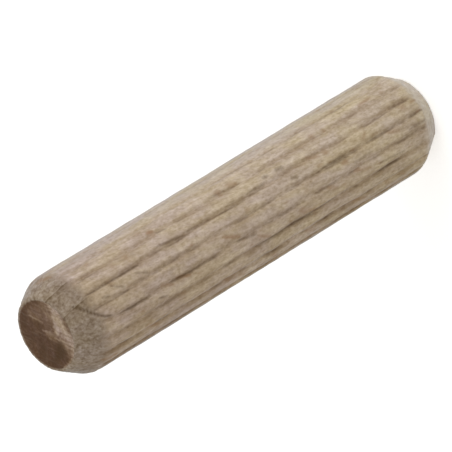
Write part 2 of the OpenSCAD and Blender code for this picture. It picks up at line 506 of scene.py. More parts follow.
def fluted_pin_tree(pin, material):
    """The tree that grows the pin: a cylinder's rows and columns laid onto the fluted, coned form."""
    tree = bpy.data.node_groups.new("Fluted pin", "GeometryNodeTree")
    values = pin_inputs(pin, material)
    for name, (kind, _value) in values.items():
        tree.interface.new_socket(name, in_out="INPUT", socket_type=kind)
    tree.interface.new_socket("Geometry", in_out="OUTPUT", socket_type="NodeSocketGeometry")
    size = add(tree, "NodeGroupInput").outputs
    blank, spot = cylinder_spots(tree, size)

    # The shank cut by the cones. The lower chamfer's edge is crisper.
    depth, off_root, pressed = flutes(tree, size, spot)
    relief = shank_relief(tree, spot)
    sunk = add(tree, "ShaderNodeMath", {0: depth, 1: relief}, operation="ADD")
    shank_radius = add(tree, "ShaderNodeMath", {0: size["Crest Radius"], 1: sunk}, operation="SUBTRACT")
    cone_radius = cone_surface(tree, size, spot)
    crisper = add(tree, "ShaderNodeMapRange", {"Value": spot.is_lower, "To Min": 1.0, "To Max": 0.4})
    turn_over = add(tree, "ShaderNodeMath", {0: size["Edge Rounding"], 1: crisper}, operation="MULTIPLY")
    radius = add(tree, "ShaderNodeMath", {
        0: cone_radius, 1: shank_radius, 2: turn_over}, operation="SMOOTH_MIN")
    spread = add(tree, "ShaderNodeMath", {0: radius, 1: spot.inward}, operation="MULTIPLY")
    outward = add(tree, "ShaderNodeVectorMath", {0: spot.around, "Scale": spread}, operation="SCALE")
    settled = sawn_height(tree, spot)
    lifted = add(tree, "ShaderNodeCombineXYZ", {"Z": settled})
    target = add(tree, "ShaderNodeVectorMath", {0: outward, 1: lifted}, operation="ADD")

    # What the finish needs to know about each spot, stored before the rows are laid in place.
    over_cone = add(tree, "ShaderNodeMath", {0: shank_radius, 1: cone_radius}, operation="SUBTRACT")
    on_cone = add(tree, "ShaderNodeMapRange", {
        "Value": over_cone, "From Min": -0.4 * MM, "From Max": 0.4 * MM})
    fields = {"off_root": off_root, "pressed": pressed, "chamfer": on_cone, "sawn_end": spot.is_end}
    for name, field in fields.items():
        blank = add(tree, "GeometryNodeStoreNamedAttribute", {
            "Geometry": blank, "Name": name, "Value": field}).outputs["Geometry"]
    shaped = add(tree, "GeometryNodeSetPosition", {"Geometry": blank, "Position": target})
    smooth = add(tree, "GeometryNodeSetShadeSmooth", {"Geometry": shaped, "Shade Smooth": True})
    real = add(tree, "GeometryNodeRealizeInstances", {"Geometry": smooth})
    finished = add(tree, "GeometryNodeSetMaterial", {"Geometry": real, "Material": size["Material"]})
    add(tree, "NodeGroupOutput", {"Geometry": finished})
    return tree, {name: value for name, (_kind, value) in values.items()}


def grown_piece(name, tree, values):
    """Evaluates a tree once on an empty object and returns the object with the plain mesh it made."""
    piece = bpy.data.objects.new(name, bpy.data.meshes.new(name))
    bpy.context.scene.collection.objects.link(piece)
    modifier = piece.modifiers.new(tree.name, "NODES")
    modifier.node_group = tree
    for item in tree.interface.items_tree:
        if item.in_out == "INPUT":
            modifier[item.identifier] = values[item.name]
    depsgraph = bpy.context.evaluated_depsgraph_get()
    evaluated = piece.evaluated_get(depsgraph)
    mesh = bpy.data.meshes.new_from_object(evaluated, preserve_all_data_layers=True, depsgraph=depsgraph)
    piece.modifiers.clear()
    piece.data = mesh
    mesh.name = name
    return piece


# ---------------------------------------------------------------- marks in the surface

# Each mark is a line of spots: (millimetres down from the upper end, degrees round), then its half
# width in mm, its depth in mm and how strongly it is coloured. Checks are splits in the grain,
# coloured dark with the painted shade in their bottom.
CHECKS = (
    (((0.9, -14), (1.3, -4), (1.6, 2), (2.0, 9), (2.5, 14), (3.2, 17)), 0.17, 0.05, 0.9),
    (((2.0, -15), (7.6, -14)), 0.20, 0.03, 0.75),
    (((10.0, -20), (12.6, -16)), 0.17, 0.02, 0.6),
    (((13.0, -17), (19.0, -13)), 0.17, 0.02, 0.5),
    (((20.0, -18), (21.6, -18)), 0.17, 0.02, 0.5),
    (((35.8, -16), (37.6, -15)), 0.20, 0.03, 0.55),
    (((2.0, 3), (5.6, 3)), 0.17, 0.02, 0.55),
    (((27.0, 1), (29.6, 1)), 0.17, 0.02, 0.6),
    (((27.2, 4), (29.8, 4)), 0.17, 0.02, 0.6),
    (((32.0, 3), (35.0, 3)), 0.17, 0.02, 0.55),
    (((36.8, 3), (38.4, 3)), 0.20, 0.03, 0.55),
    (((4.0, 20), (7.2, 21)), 0.17, 0.03, 0.7),
    (((9.4, 20), (11.8, 22)), 0.17, 0.03, 0.8),
    (((16.8, 20), (18.6, 24)), 0.17, 0.02, 0.6),
    (((18.4, 38), (27.2, 37)), 0.20, 0.03, 0.7),
    (((32.0, 38), (34.6, 38)), 0.18, 0.03, 0.65),
    (((7.4, 54), (9.0, 55)), 0.18, 0.03, 0.7),
    (((18.0, 54), (20.0, 54)), 0.17, 0.02, 0.6),
    (((26.0, 54), (29.4, 55)), 0.18, 0.03, 0.7),
    (((32.4, 29), (35.2, 32)), 0.17, 0.02, 0.5),
    (((30.0, 14), (32.0, 13)), 0.17, 0.01, 0.45),
    (((36.4, 14), (38.2, 14)), 0.17, 0.02, 0.5),
    (((3.0, -4), (3.7, -2)), 0.17, 0.01, 0.55),
    (((4.2, -11), (4.6, -7), (5.4, -1)), 0.17, 0.02, 0.55),
    (((6.8, -8), (7.2, -6), (7.8, -2)), 0.17, 0.02, 0.55),
    (((7.8, 28), (8.7, 31)), 0.17, 0.01, 0.6),
    (((2.2, -32), (4.4, -32)), 0.17, 0.02, 0.45),
    (((10.9, -34), (12.0, -32)), 0.17, 0.02, 0.6),
    (((17.0, -37), (20.0, -33)), 0.17, 0.02, 0.4),
    # three small knots
    (((21.9, -24), (22.4, -23)), 0.28, 0.02, 0.55),
    (((23.3, -24), (24.1, -22)), 0.36, 0.03, 0.6),
    (((23.9, -7), (24.6, -5)), 0.28, 0.02, 0.55),
)
# Reddish stains, some of them in a dent.
STAINS = (
    (((10.3, -40), (10.9, -38)), 0.30, 0.02, 0.5),
    (((19.0, -39), (19.8, -35)), 0.45, 0.0, 0.4),
    (((26.3, -18), (27.4, -12)), 0.25, 0.0, 0.4),
    (((29.5, -37), (29.7, -33)), 0.28, 0.0, 0.4),
    (((33.8, -38), (35.2, -40)), 0.30, 0.03, 0.5),
    (((31.7, -2), (32.4, -9)), 0.28, 0.01, 0.4),
    (((34.1, 4), (35.3, 10)), 0.28, 0.01, 0.45),
    (((37.6, -10), (38.4, -10)), 0.18, 0.0, 0.6),
    (((37.6, 2), (38.2, 2)), 0.18, 0.0, 0.6),
    (((28.9, 8), (29.5, 8)), 0.34, 0.03, 0.6),
    (((15.5, 8), (17.1, 17)), 0.26, 0.01, 0.6),
    (((8.4, 17), (9.6, 23)), 0.26, 0.0, 0.4),
    (((10.0, 19), (11.4, 24)), 0.20, 0.0, 0.7),
    (((18.7, 27), (20.0, 35)), 0.28, 0.0, 0.45),
    (((22.1, 31), (22.5, 35)), 0.25, 0.0, 0.4),
    (((23.3, 28), (25.3, 38)), 0.30, 0.0, 0.45),
    (((26.7, 22), (27.6, 27)), 0.30, 0.0, 0.4),
    (((29.8, 22), (31.4, 28)), 0.25, 0.0, 0.4),
    (((1.2, -80), (1.7, -62)), 0.30, 0.0, 0.4),
    (((1.8, 65), (3.4, 65)), 0.30, 0.0, 0.5),
    (((6.2, 52), (7.8, 60)), 0.30, 0.0, 0.45),
    (((14.9, 54), (15.6, 60)), 0.28, 0.0, 0.45),
    (((16.6, 61), (17.4, 66)), 0.28, 0.0, 0.45),
    (((20.2, 62), (21.0, 68)), 0.28, 0.0, 0.5),
    (((24.0, 57), (25.2, 64)), 0.28, 0.0, 0.4),
    (((29.2, 56), (31.0, 63)), 0.28, 0.0, 0.45),
    (((33.0, 57), (33.6, 64)), 0.25, 0.0, 0.4),
    (((34.8, 59), (35.6, 66)), 0.25, 0.0, 0.45),
)
# Pale torn fibres. On the upper end face a spot is (millimetres out from the axis, degrees round).
TORN_FIBRES = (
    # the wide paler part towards the front
    (((2.4, -50), (2.2, 0), (2.4, 40)), 2.40, 0.0, 0.45),
    (((2.2, -100), (1.6, -50)), 1.30, 0.0, 0.3),
    (((0.2, -45), (1.0, 24)), 0.65, 0.0, 0.5),
    # the torn rim
    (((3.0, -48), (2.7, -34), (2.4, -22), (2.1, -8), (1.9, 6), (2.2, 22), (2.6, 38), (2.9, 60)),
     0.95, 0.05, 1.0),
    (((2.7, -34), (2.1, -24), (1.6, -10), (1.2, 12)), 0.74, 0.02, 1.25),
    (((1.2, -5), (1.6, 30), (2.3, 48), (2.9, 56)), 0.90, 0.02, 0.66),
    (((2.8, 60), (2.75, 80), (2.8, 98)), 0.35, 0.02, 0.9),
    # three streaks of lifted fibres
    (((0.6, -112), (1.2, 12)), 0.16, 0.01, 0.55),
    (((0.4, -60), (1.2, 40)), 0.16, 0.01, 0.55),
    (((2.2, -108), (1.0, -65)), 0.24, 0.01, 0.5),
)
# The darkest end grain on the same face.
BLOTS = (
    (((1.4, 50), (1.5, 74), (1.8, 98)), 0.75, 0.03, 1.5),
    (((1.8, 98), (2.3, 122)), 0.60, 0.02, 0.8),
    (((2.1, 148), (1.0, 158)), 0.90, 0.0, 0.6),
    (((2.5, -118), (2.4, -145)), 0.60, 0.0, 0.5),
)


def line_nearness(points, line, half_width):
    """How near each flat point is to a line, from 0 to 1.

    It fades softly to the line's sides, and the line narrows to half its width over the last 15% at
    each end.
    """
    steps = np.linalg.norm(np.diff(line, axis=0), axis=1)
    total, passed = steps.sum(), 0.0
    best = np.zeros(len(points))
    for start, end, step in zip(line[:-1], line[1:], steps):
        along = np.clip((points - start) @ (end - start) / step ** 2, 0, 1)
        gap = np.linalg.norm(points - start - along[:, None] * (end - start), axis=1)
        reach = (passed + along * step) / total
        taper = np.sqrt(np.clip(np.minimum(reach, 1 - reach) * 5 + 0.25, 0, 1))
        near = np.clip(1 - gap / (half_width * taper), 0, 1)
        best = np.maximum(best, near * near * (3 - 2 * near))
        passed += step
    return best


def laid_line(spots, on_side, radius):
    """A mark's spots in flat metres: on the side as it is unrolled, or on the upper end face."""
    if on_side:
        return np.array([(drop * MM, math.radians(turn) * radius) for drop, turn in spots])
    return np.array([
        (out * MM * math.cos(math.radians(turn)), out * MM * math.sin(math.radians(turn)))
        for out, turn in spots])


def cut_marks(mesh, length, radius):
    """Cuts checks, dents and torn fibres into the surface and stores how each vertex is coloured."""
    places = np.zeros(len(mesh.vertices) * 3, np.float32)
    mesh.vertices.foreach_get("co", places)
    places = places.reshape(-1, 3).astype(float)
    out = np.hypot(places[:, 0], places[:, 1])
    way_round = (math.radians(FRONT_LINE) - np.arctan2(places[:, 1], places[:, 0])) % math.tau
    way_round[way_round > math.pi] -= math.tau
    on_end = np.zeros(len(places), np.float32)
    mesh.attributes["sawn_end"].data.foreach_get("value", on_end)
    on_upper_end = (on_end > 0.5) & (places[:, 2] > length / 2)
    unrolled = np.stack([length - places[:, 2], way_round * radius], axis=1)
    flat = np.stack([out * np.cos(way_round), out * np.sin(way_round)], axis=1)
    inward = np.zeros(len(places))
    down = np.zeros(len(places))
    for name, marks, on_side in (
            ("check", CHECKS, True), ("stain", STAINS, True),
            ("torn", TORN_FIBRES, False), ("blot", BLOTS, False)):
        shade = np.zeros(len(places))
        points, where, sunk = (
            (unrolled, on_end < 0.5, inward) if on_side else (flat, on_upper_end, down))
        for spots, half_width, depth, strength in marks:
            line = laid_line(spots, on_side, radius)
            shown = line_nearness(points, line, half_width * MM) * strength * where
            shade = np.maximum(shade, shown)
            np.maximum(sunk, shown * depth * MM, out=sunk)
        mesh.attributes.new(name, "FLOAT", "POINT").data.foreach_set("value", shade.astype(np.float32))
    # The side is pushed in towards the axis, and the end face down.
    places[:, :2] *= (1 - inward / np.maximum(out, radius / 2))[:, None]
    places[:, 2] -= down
    mesh.vertices.foreach_set("co", places.astype(np.float32).ravel())
    mesh.update()


# ---------------------------------------------------------------- materials

def emptied_tree(owner):
    """The node tree of a material or a world, emptied."""
    owner.use_nodes = True
    owner.node_tree.nodes.clear()
    return owner.node_tree


def wood_tone(tree, tone):
    """A tone as a colour: the darker parts of wood are also browner, the paler parts greyer."""
    red = add(tree, "ShaderNodeMath", {0: tone, 1: 0.85}, operation="POWER")
    blue = add(tree, "ShaderNodeMath", {0: tone, 1: 1.25}, operation="POWER")
    return add(tree, "ShaderNodeCombineColor", {"Red": red, "Green": tone, "Blue": blue})


def spot_fields(tree):
    """What is known of a spot on the pin: its place and the numbers stored on the mesh."""
    place = add(tree, "ShaderNodeTexCoord").outputs["Object"]
    height = add(tree, "ShaderNodeSeparateXYZ", {0: place}).outputs["Z"]
    is_upper = add(tree, "ShaderNodeMath", {0: height, 1: PIN_LENGTH / 2}, operation="GREATER_THAN")
    # Leaned and turned so that Z runs along the fibres and X across the growth rings.
    leaned = add(tree, "ShaderNodeVectorRotate", {
        "Vector": place, "Center": (0, 0, PIN_LENGTH), "Axis": level_direction(surface_angle(0)),
        "Angle": GRAIN_SLOPE})
    wood = add(tree, "ShaderNodeMapping", {
        "Vector": leaned, "Rotation": (0, 0, -surface_angle(RING_NORMAL))}, vector_type="POINT")
    # How far out from the axis it lies towards each of these sides, which are in degrees round. The shade
    # side, away from the soft box, carries painted shade, the sheen side, towards it, painted sheen, and
    # the chamfer is painted darker towards the front.
    outward = {
        name: add(tree, "ShaderNodeVectorMath", {
            0: place, 1: level_direction(surface_angle(turn))}, operation="DOT_PRODUCT").outputs["Value"]
        for name, turn in (("darkened", 90), ("rubbed", -80), ("pressed_less", 10), ("handled", -17))}
    stored = {
        name: add(tree, "ShaderNodeAttribute", attribute_name=name).outputs["Fac"]
        for name in ("off_root", "pressed", "chamfer", "sawn_end", "check", "stain", "torn", "blot")}
    return SimpleNamespace(
        place=place, height=height, is_upper=is_upper, wood=wood,
        outward=SimpleNamespace(**outward), **stored)


def growth_rings(tree, wood):
    """How dark the late wood of the growth rings is, and the thin line at which each ring starts.

    The rings are wavy by about a tenth of a millimetre either way. Each is dark next to its line and
    slowly paler after. They show clearly where they pass within 1.7 mm of the axis and faintly past
    2.5 mm.
    """
    wave = grain_noise(tree, wood, (2.5, 2.5, 14), detail=2.0)
    ring_axis = add(tree, "ShaderNodeSeparateXYZ", {0: wood}).outputs["X"]
    ring_count = add(tree, "ShaderNodeMath", {0: ring_axis, 1: 1 / RING_WIDTH}, operation="MULTIPLY")
    ring_wavy = add(tree, "ShaderNodeMath", {0: wave, 1: 0.3, 2: ring_count}, operation="MULTIPLY_ADD")
    ring_moved = add(tree, "ShaderNodeMath", {0: ring_wavy, 1: RING_SHIFT}, operation="ADD")
    ring = add(tree, "ShaderNodeMath", {0: ring_moved}, operation="FRACT")
    off_axis = add(tree, "ShaderNodeMath", {0: ring_axis}, operation="ABSOLUTE")
    ring_shown = add(tree, "ShaderNodeMapRange", {
        "Value": off_axis, "From Min": 1.7 * MM, "From Max": 2.5 * MM, "To Min": 1.0, "To Max": 0.2})
    dark_side = add(tree, "ShaderNodeMapRange", {
        "Value": ring, "From Max": 0.5, "To Min": 1.0, "To Max": 0.0}, interpolation_type="SMOOTHSTEP")
    late_wood = add(tree, "ShaderNodeMath", {0: dark_side, 1: ring_shown}, operation="MULTIPLY")
    thin_line = add(tree, "ShaderNodeMapRange", {
        "Value": ring, "From Min": 0.03, "From Max": 0.09, "To Min": 1.0, "To Max": 0.0})
    ring_line = add(tree, "ShaderNodeMath", {0: thin_line, 1: ring_shown}, operation="MULTIPLY")
    return late_wood, ring_line


def end_grain(tree, wood):
    """The tone of end grain: a speckle of cut fibres over blotches of 0.6 mm.

    The speckle is drawn 0.2 mm wide so that it shows.
    """
    speck = grain_noise(tree, wood, (0.21, 0.21, 0.3), detail=3.0, roughness=0.6)
    blotch = grain_noise(tree, wood, (0.6, 0.6, 0.6), detail=3.0, roughness=0.6)
    speck_tone = add(tree, "ShaderNodeMapRange", {
        "Value": speck, "From Min": 0.3, "From Max": 0.7, "To Min": 0.64, "To Max": 1.36})
    blotch_tone = add(tree, "ShaderNodeMapRange", {
        "Value": blotch, "From Min": 0.3, "From Max": 0.7, "To Min": 0.75, "To Max": 1.25})
    return blotch, add(tree, "ShaderNodeMath", {0: speck_tone, 1: blotch_tone}, operation="MULTIPLY")


def grain_patterns(tree, wood):
    """The patterns in the wood, each from its real size in mm."""
    grain = SimpleNamespace()
    grain.late_wood, grain.ring_line = growth_rings(tree, wood)
    grain.blotch, grain.end_tone = end_grain(tree, wood)
    # Bands of fibres a millimetre wide and three long, paler and darker.
    grain.band = grain_noise(tree, wood, (0.9, 0.9, 2.6), detail=3.0)
    # Long threads of fibre, 0.3 mm wide.
    grain.thread = grain_noise(tree, wood, (0.3, 0.3, 3.5), detail=2.0)
    # Bundles of cut fibres 0.25 mm wide and 0.4 mm long, the coarsest grain on a planed face.
    grain.bundle = grain_noise(tree, wood, (0.25, 0.25, 0.4), detail=4.0, roughness=0.65)
    # Runs of split fibre, 0.6 mm wide and two long, apart from the bands and threads.
    run_place = add(tree, "ShaderNodeVectorMath", {
        0: wood, 1: (1 / (0.6 * MM), 1 / (0.6 * MM), 1 / (2.2 * MM))}, operation="MULTIPLY")
    run_moved = add(tree, "ShaderNodeVectorMath", {0: run_place, 1: (3.0, 7.0, 11.0)}, operation="ADD")
    grain.split_run = add(tree, "ShaderNodeTexNoise", {"Vector": run_moved, "Scale": 1.0, "Detail": 3.0})
    # Pores are 0.05 mm wide; drawn 0.1 mm wide and 0.3 mm long so that they show.
    pore_place = add(tree, "ShaderNodeVectorMath", {
        0: wood, 1: (1 / (0.16 * MM), 1 / (0.16 * MM), 1 / (0.5 * MM))}, operation="MULTIPLY")
    pore = add(tree, "ShaderNodeTexVoronoi", {"Vector": pore_place, "Scale": 1.0})
    grain.pore_mark = add(tree, "ShaderNodeMapRange", {
        "Value": pore, "From Min": 0.15, "From Max": 0.45, "To Min": 1.0, "To Max": 0.0})
    # Rays run across the rings: lens shapes 0.2 mm wide and up to 0.9 mm tall seen end on.
    ray_place = add(tree, "ShaderNodeVectorMath", {
        0: wood, 1: (1 / (3 * MM), 1 / (0.5 * MM), 1 / (1.8 * MM))}, operation="MULTIPLY")
    ray = add(tree, "ShaderNodeTexVoronoi", {"Vector": ray_place, "Scale": 1.0})
    grain.ray_mark = add(tree, "ShaderNodeMapRange", {
        "Value": ray, "From Min": 0.05, "From Max": 0.25, "To Min": 0.45, "To Max": 0.0})
    # Patches of slightly greyer and slightly browner wood, 1.6 mm wide and 4 mm long.
    hue = grain_noise(tree, wood, (1.6, 1.6, 4.0), detail=4.0, roughness=0.65)
    hue_mix = add(tree, "ShaderNodeMapRange", {"Value": hue, "From Min": 0.4, "From Max": 0.6})
    grain.tint = add(tree, "ShaderNodeMix", {
        "Factor": hue_mix, "A": (0.985, 0.985, 1.055, 1), "B": (1.014, 1.014, 0.935, 1)},
        data_type="RGBA")
    return grain


def planed_tone(tree, spot, grain):
    """How pale the planed wood is, around 1."""
    # Each pattern makes the wood paler and darker by this share.
    shades = [
        add(tree, "ShaderNodeMapRange", {
            "Value": pattern, "From Min": 0.3, "From Max": 0.7, "To Min": 1 - share, "To Max": 1 + share})
        for pattern, share in ((grain.band, 0.08), (grain.bundle, 0.22), (grain.thread, 0.12))]
    shades.append(add(tree, "ShaderNodeMapRange", {
        "Value": grain.late_wood, "To Min": 1.04, "To Max": 0.96}))
    tone = shades[0]
    for shade in shades[1:]:
        tone = add(tree, "ShaderNodeMath", {0: tone, 1: shade}, operation="MULTIPLY")

    # On the side towards the soft box the grain shows less, as if washed out by light: painted sheen.
    grain_left_under_sheen = add(tree, "ShaderNodeMapRange", {
        "Value": spot.outward.rubbed, "From Min": CREST_RADIUS * 0.85, "From Max": CREST_RADIUS,
        "To Min": 1.0, "To Max": 0.55})
    off_mean = add(tree, "ShaderNodeMath", {0: tone, 1: 1.0}, operation="SUBTRACT")
    tone = add(tree, "ShaderNodeMath", {0: off_mean, 1: grain_left_under_sheen, 2: 1.0}, operation="MULTIPLY_ADD")

    # The side away from the soft box is darker: painted shade.
    painted_side_shade = add(tree, "ShaderNodeMapRange", {
        "Value": spot.outward.darkened, "From Min": CREST_RADIUS * 0.87, "From Max": CREST_RADIUS,
        "To Min": 1.0, "To Max": 0.76})
    # The upper third is a little darker.
    length_tone = add(tree, "ShaderNodeMapRange", {
        "Value": spot.height, "From Min": PIN_LENGTH * 0.6, "From Max": PIN_LENGTH * 0.95,
        "To Min": 1.0, "To Max": 0.88})
    pore_tone = add(tree, "ShaderNodeMapRange", {
        "Value": grain.pore_mark, "To Min": 1.02, "To Max": 0.86})
    for shade in (painted_side_shade, length_tone, pore_tone):
        tone = add(tree, "ShaderNodeMath", {0: tone, 1: shade}, operation="MULTIPLY")
    return tone


def planed_colour(tree, finish, spot, grain, tone_colour):
    """The crests: planed wood with a few ray flecks."""
    # The wood is a little yellower towards the lower end.
    upward = add(tree, "ShaderNodeMapRange", {"Value": spot.height, "From Max": PIN_LENGTH})
    long_tint = add(tree, "ShaderNodeMix", {
        "Factor": upward, "A": (1.0, 1.01, 0.93, 1), "B": (1.0, 0.985, 1.01, 1)}, data_type="RGBA")
    patchy_tint = add(tree, "ShaderNodeMix", {
        "Factor": 1.0, "A": long_tint, "B": grain.tint}, data_type="RGBA", blend_type="MULTIPLY")
    # The side towards the soft box is a little greyer and bluer: painted sheen.
    painted_sheen_share = add(tree, "ShaderNodeMapRange", {
        "Value": spot.outward.rubbed, "From Min": CREST_RADIUS * 0.85, "From Max": CREST_RADIUS})
    wood_tint = add(tree, "ShaderNodeMix", {
        "Factor": painted_sheen_share, "A": patchy_tint, "B": (1.0, 1.05, 1.13, 1)}, data_type="RGBA",
        blend_type="MULTIPLY")
    tinted = add(tree, "ShaderNodeMix", {
        "Factor": 1.0, "A": tuple(finish.wood), "B": wood_tint}, data_type="RGBA", blend_type="MULTIPLY")
    planed = add(tree, "ShaderNodeMix", {
        "Factor": 1.0, "A": tinted, "B": tone_colour}, data_type="RGBA", blend_type="MULTIPLY")
    return add(tree, "ShaderNodeMix", {
        "Factor": grain.ray_mark, "A": planed, "B": tuple(finish.ray)}, data_type="RGBA")


def fluted_colour(tree, finish, spot, grain, crests, tone_colour):
    """The shank: pressed wood in the flutes between the planed crests, split in places at the root."""
    # The pressed band is wider and darker where the flute was pressed harder, and patchy along it.
    band_width = add(tree, "ShaderNodeMapRange", {
        "Value": spot.pressed, "To Min": 0.15 * MM, "To Max": 0.6 * MM})
    near_root = add(tree, "ShaderNodeMapRange", {
        "Value": spot.off_root, "From Min": 0.04 * MM, "From Max": band_width,
        "To Min": 1.0, "To Max": 0.0}, interpolation_type="SMOOTHSTEP")
    pressed_share = add(tree, "ShaderNodeMath", {0: near_root, 1: spot.pressed}, operation="MULTIPLY")
    amount = add(tree, "ShaderNodeMapRange", {"Value": pressed_share, "From Max": 0.9, "To Max": 0.75})
    patch = add(tree, "ShaderNodeMapRange", {
        "Value": grain.band, "From Min": 0.35, "From Max": 0.65, "To Min": 1.0, "To Max": 0.5})
    # The flutes at the front are pressed less hard.
    pressure = add(tree, "ShaderNodeMapRange", {
        "Value": spot.outward.pressed_less, "From Min": CREST_RADIUS * 0.88,
        "From Max": CREST_RADIUS * 0.95, "To Min": 1.0, "To Max": 0.6})
    for share in (patch, pressure):
        amount = add(tree, "ShaderNodeMath", {0: amount, 1: share}, operation="MULTIPLY")
    pressed_tone = add(tree, "ShaderNodeMix", {
        "Factor": 1.0, "A": tuple(finish.pressed), "B": tone_colour}, data_type="RGBA",
        blend_type="MULTIPLY")
    fluted = add(tree, "ShaderNodeMix", {
        "Factor": amount, "A": crests, "B": pressed_tone}, data_type="RGBA")

    # The very root is a dark line 0.2 mm wide in places, where the fibres split; it takes the check colour,
    # the painted shade in a split.
    core = add(tree, "ShaderNodeMapRange", {
        "Value": spot.off_root, "From Min": 0.03 * MM, "From Max": 0.16 * MM,
        "To Min": 0.6, "To Max": 0.0}, interpolation_type="SMOOTHSTEP")
    core_patch = add(tree, "ShaderNodeMapRange", {
        "Value": grain.split_run, "From Min": 0.46, "From Max": 0.64, "To Min": 0.0, "To Max": 1.0})
    for share in (spot.pressed, core_patch):
        core = add(tree, "ShaderNodeMath", {0: core, 1: share}, operation="MULTIPLY")
    return add(tree, "ShaderNodeMix", {
        "Factor": core, "A": fluted, "B": tuple(finish.check)}, data_type="RGBA")


def marked_colour(tree, finish, spot, base, check_amount):
    """A base colour with its stains and checks."""
    stained = add(tree, "ShaderNodeMix", {
        "Factor": spot.stain, "A": base, "B": tuple(finish.ray)}, data_type="RGBA")
    return add(tree, "ShaderNodeMix", {
        "Factor": check_amount, "A": stained, "B": tuple(finish.check)}, data_type="RGBA")


def shank_colour(tree, finish, spot, grain):
    """The whole shank. Its checks are a little broken up by the grain."""
    tone_colour = wood_tone(tree, planed_tone(tree, spot, grain))
    crests = planed_colour(tree, finish, spot, grain, tone_colour)
    fluted = fluted_colour(tree, finish, spot, grain, crests, tone_colour)
    check_patch = add(tree, "ShaderNodeMapRange", {
        "Value": grain.bundle, "From Min": 0.35, "From Max": 0.6, "To Min": 1.0, "To Max": 0.7})
    check_amount = add(tree, "ShaderNodeMath", {0: spot.check, 1: check_patch}, operation="MULTIPLY")
    return marked_colour(tree, finish, spot, fluted, check_amount)


def chamfer_colour(tree, finish, spot, grain):
    """The chamfers: end grain cut at a slant, speckled. The upper one is darker, partly as painted shade,
    and the lower one paler, partly as painted light from below, and calmer.
    """
    end_late = add(tree, "ShaderNodeMapRange", {
        "Value": grain.late_wood, "To Min": 1.03, "To Max": 0.82})
    # The rings' lines show only in places.
    line_patch = add(tree, "ShaderNodeMapRange", {
        "Value": grain.band, "From Min": 0.4, "From Max": 0.55, "To Min": 0.95, "To Max": 0.65})
    line_tone = add(tree, "ShaderNodeMapRange", {
        "Value": grain.ring_line, "To Min": 1.0, "To Max": line_patch})
    # The chamfer is painted darker towards the front and paler towards its sides and back, and darker still
    # on the side away from the soft box: painted light and shade.
    painted_front_shade = add(tree, "ShaderNodeMapRange", {
        "Value": spot.outward.handled, "From Min": 1.3 * MM, "From Max": 3.6 * MM,
        "To Min": 1.2, "To Max": 0.91})
    painted_side_shade = add(tree, "ShaderNodeMapRange", {
        "Value": spot.outward.darkened, "From Min": 2.9 * MM, "From Max": 3.5 * MM,
        "To Min": 1.0, "To Max": 0.9})
    tone = grain.end_tone
    for shade in (end_late, line_tone, painted_front_shade, painted_side_shade):
        tone = add(tree, "ShaderNodeMath", {0: tone, 1: shade}, operation="MULTIPLY")
    contrast = add(tree, "ShaderNodeMapRange", {"Value": spot.is_upper, "To Min": 0.35, "To Max": 1.0})
    off_mean = add(tree, "ShaderNodeMath", {0: tone, 1: 1.0}, operation="SUBTRACT")
    calm_tone = add(tree, "ShaderNodeMath", {0: off_mean, 1: contrast, 2: 1.0}, operation="MULTIPLY_ADD")
    cut_colour = add(tree, "ShaderNodeMix", {
        "Factor": 0.5, "A": wood_tone(tree, calm_tone), "B": grain.tint}, data_type="RGBA",
        blend_type="MULTIPLY")
    # The lower chamfer's paler base and the upper one's darker base are partly painted light and shade.
    base = add(tree, "ShaderNodeMix", {
        "Factor": spot.is_upper, "A": tuple(finish.lower_chamfer_pale_and_lit), "B": tuple(finish.chamfer)},
        data_type="RGBA")
    chamfered = add(tree, "ShaderNodeMix", {
        "Factor": 1.0, "A": base, "B": cut_colour}, data_type="RGBA", blend_type="MULTIPLY")
    return marked_colour(tree, finish, spot, chamfered, spot.check)


def chamfer_share(tree, spot, grain):
    """How far a spot is on a chamfer. The edge is ragged, and more gradual on the lower one."""
    ragged = add(tree, "ShaderNodeMath", {0: grain.blotch, 1: spot.chamfer}, operation="ADD")
    start = add(tree, "ShaderNodeMapRange", {"Value": spot.is_upper, "To Min": 0.6, "To Max": 0.55})
    full = add(tree, "ShaderNodeMapRange", {"Value": spot.is_upper, "To Min": 1.8, "To Max": 1.3})
    return add(tree, "ShaderNodeMapRange", {"Value": ragged, "From Min": start, "From Max": full})


